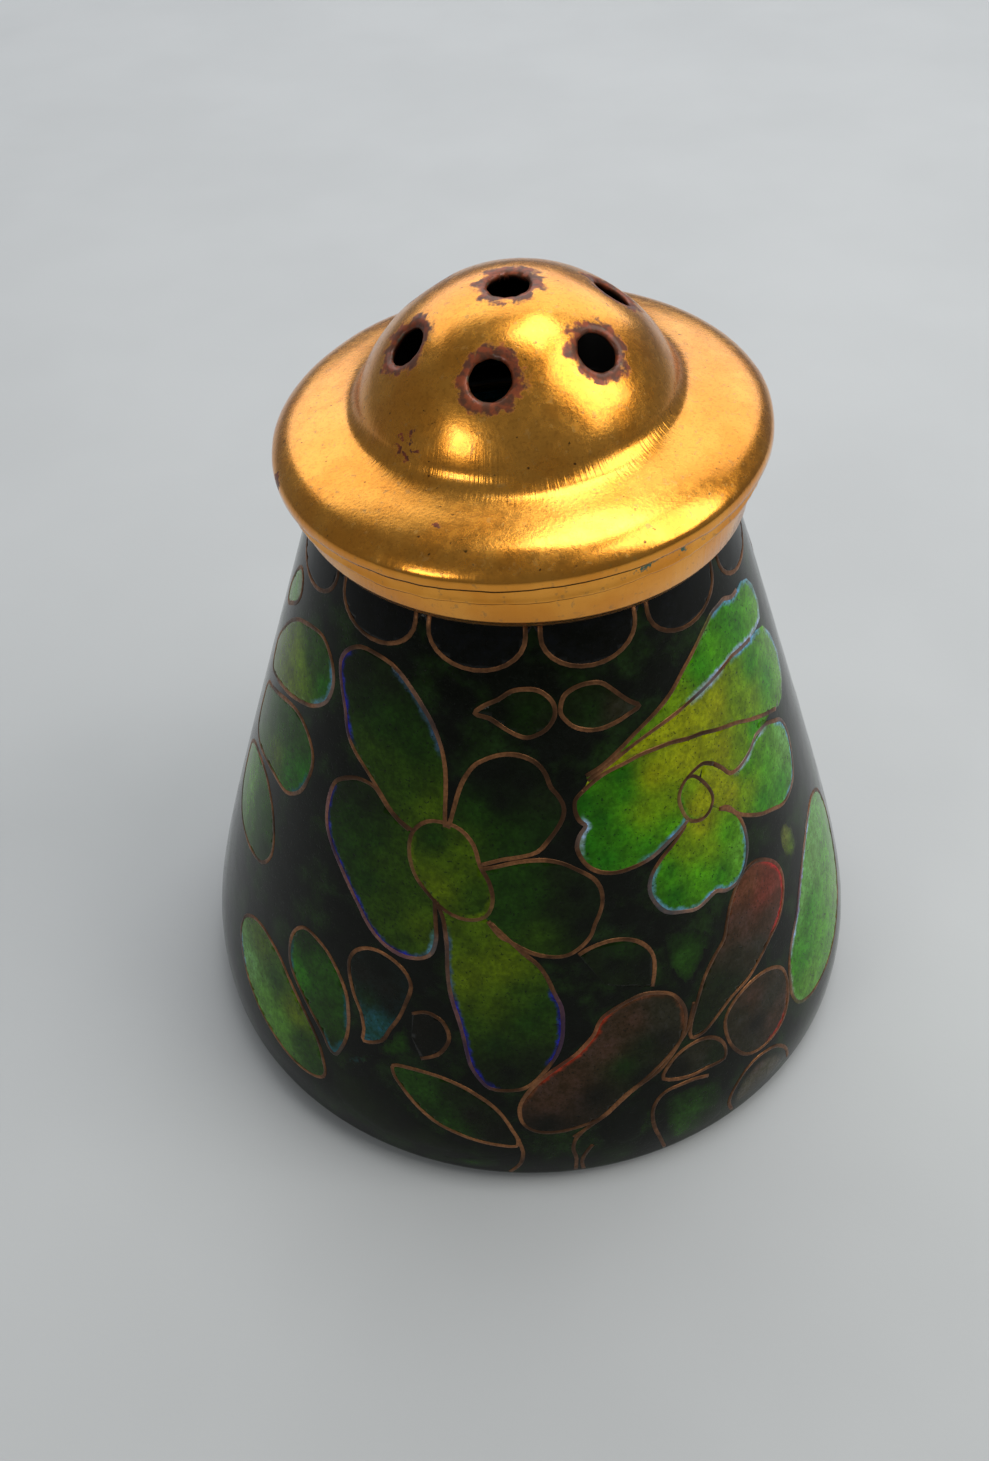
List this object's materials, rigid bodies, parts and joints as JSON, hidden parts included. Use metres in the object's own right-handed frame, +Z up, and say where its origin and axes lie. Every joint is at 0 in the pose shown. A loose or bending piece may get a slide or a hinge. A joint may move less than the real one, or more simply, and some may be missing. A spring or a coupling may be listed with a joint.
{
  "type": "cloisonne table shaker",
  "caption": "Bell-shaped cloisonne shaker: enamelled copper body with a floral wire pattern and a pierced brass cap that lifts off.",
  "frame": {"origin": "middle of the foot, on the table", "axes": "+Z up along the body's axis, -Y the front of the pattern"},
  "size_m": [0.0454, 0.0454, 0.0496],
  "materials": {
    "gilt_brass": "satin gilt brass with tarnish spots",
    "copper_sheet": "spun copper",
    "copper_wire": "ground and polished copper wire",
    "ground_enamel": "glossy, mottled near-black green",
    "dark_enamel": "glossy black-green",
    "leaf_enamel": "glossy, shaded leaf green",
    "bright_enamel": "glossy, shaded bright green",
    "red_enamel": "glossy, shaded brown-red",
    "inner_enamel": "glossy turquoise counter-enamel"
  },
  "bodies": {
    "shaker": {"copper_body": "copper_sheet", "base_plate": "copper_sheet", "foot_ring": "gilt_brass", "base_enamel": "inner_enamel", "lining_enamel": "inner_enamel", "neck_collar": "gilt_brass", "ground_enamel": "ground_enamel", "scallop_wires": "copper_wire", "scallop_enamel": "dark_enamel", "bud_wires": "copper_wire", "bud_enamel": "leaf_enamel", "blossom_wires": "copper_wire", "blossom_petal_enamel": "leaf_enamel", "blossom_centre_enamel": "leaf_enamel", "orchid_wires": "copper_wire", "orchid_petal_enamel": "bright_enamel", "orchid_centre_enamel": "bright_enamel", "side_flower_wires": "copper_wire", "side_flower_enamel": "bright_enamel", "low_flower_wires": "copper_wire", "low_flower_enamel": "leaf_enamel", "leaf_wires": "copper_wire", "green_leaf_enamel": "leaf_enamel", "red_leaf_enamel": "red_enamel", "tendril_wires": "copper_wire"},
    "cap": {"cap_dome": "gilt_brass", "cap_skirt": "gilt_brass"}
  },
  "joints": [
    {"name": "cap_lift", "type": "slide", "parent": "shaker", "child": "cap", "axis": [0, 0, 1], "range_m": [0, 0.02]}
  ]
}
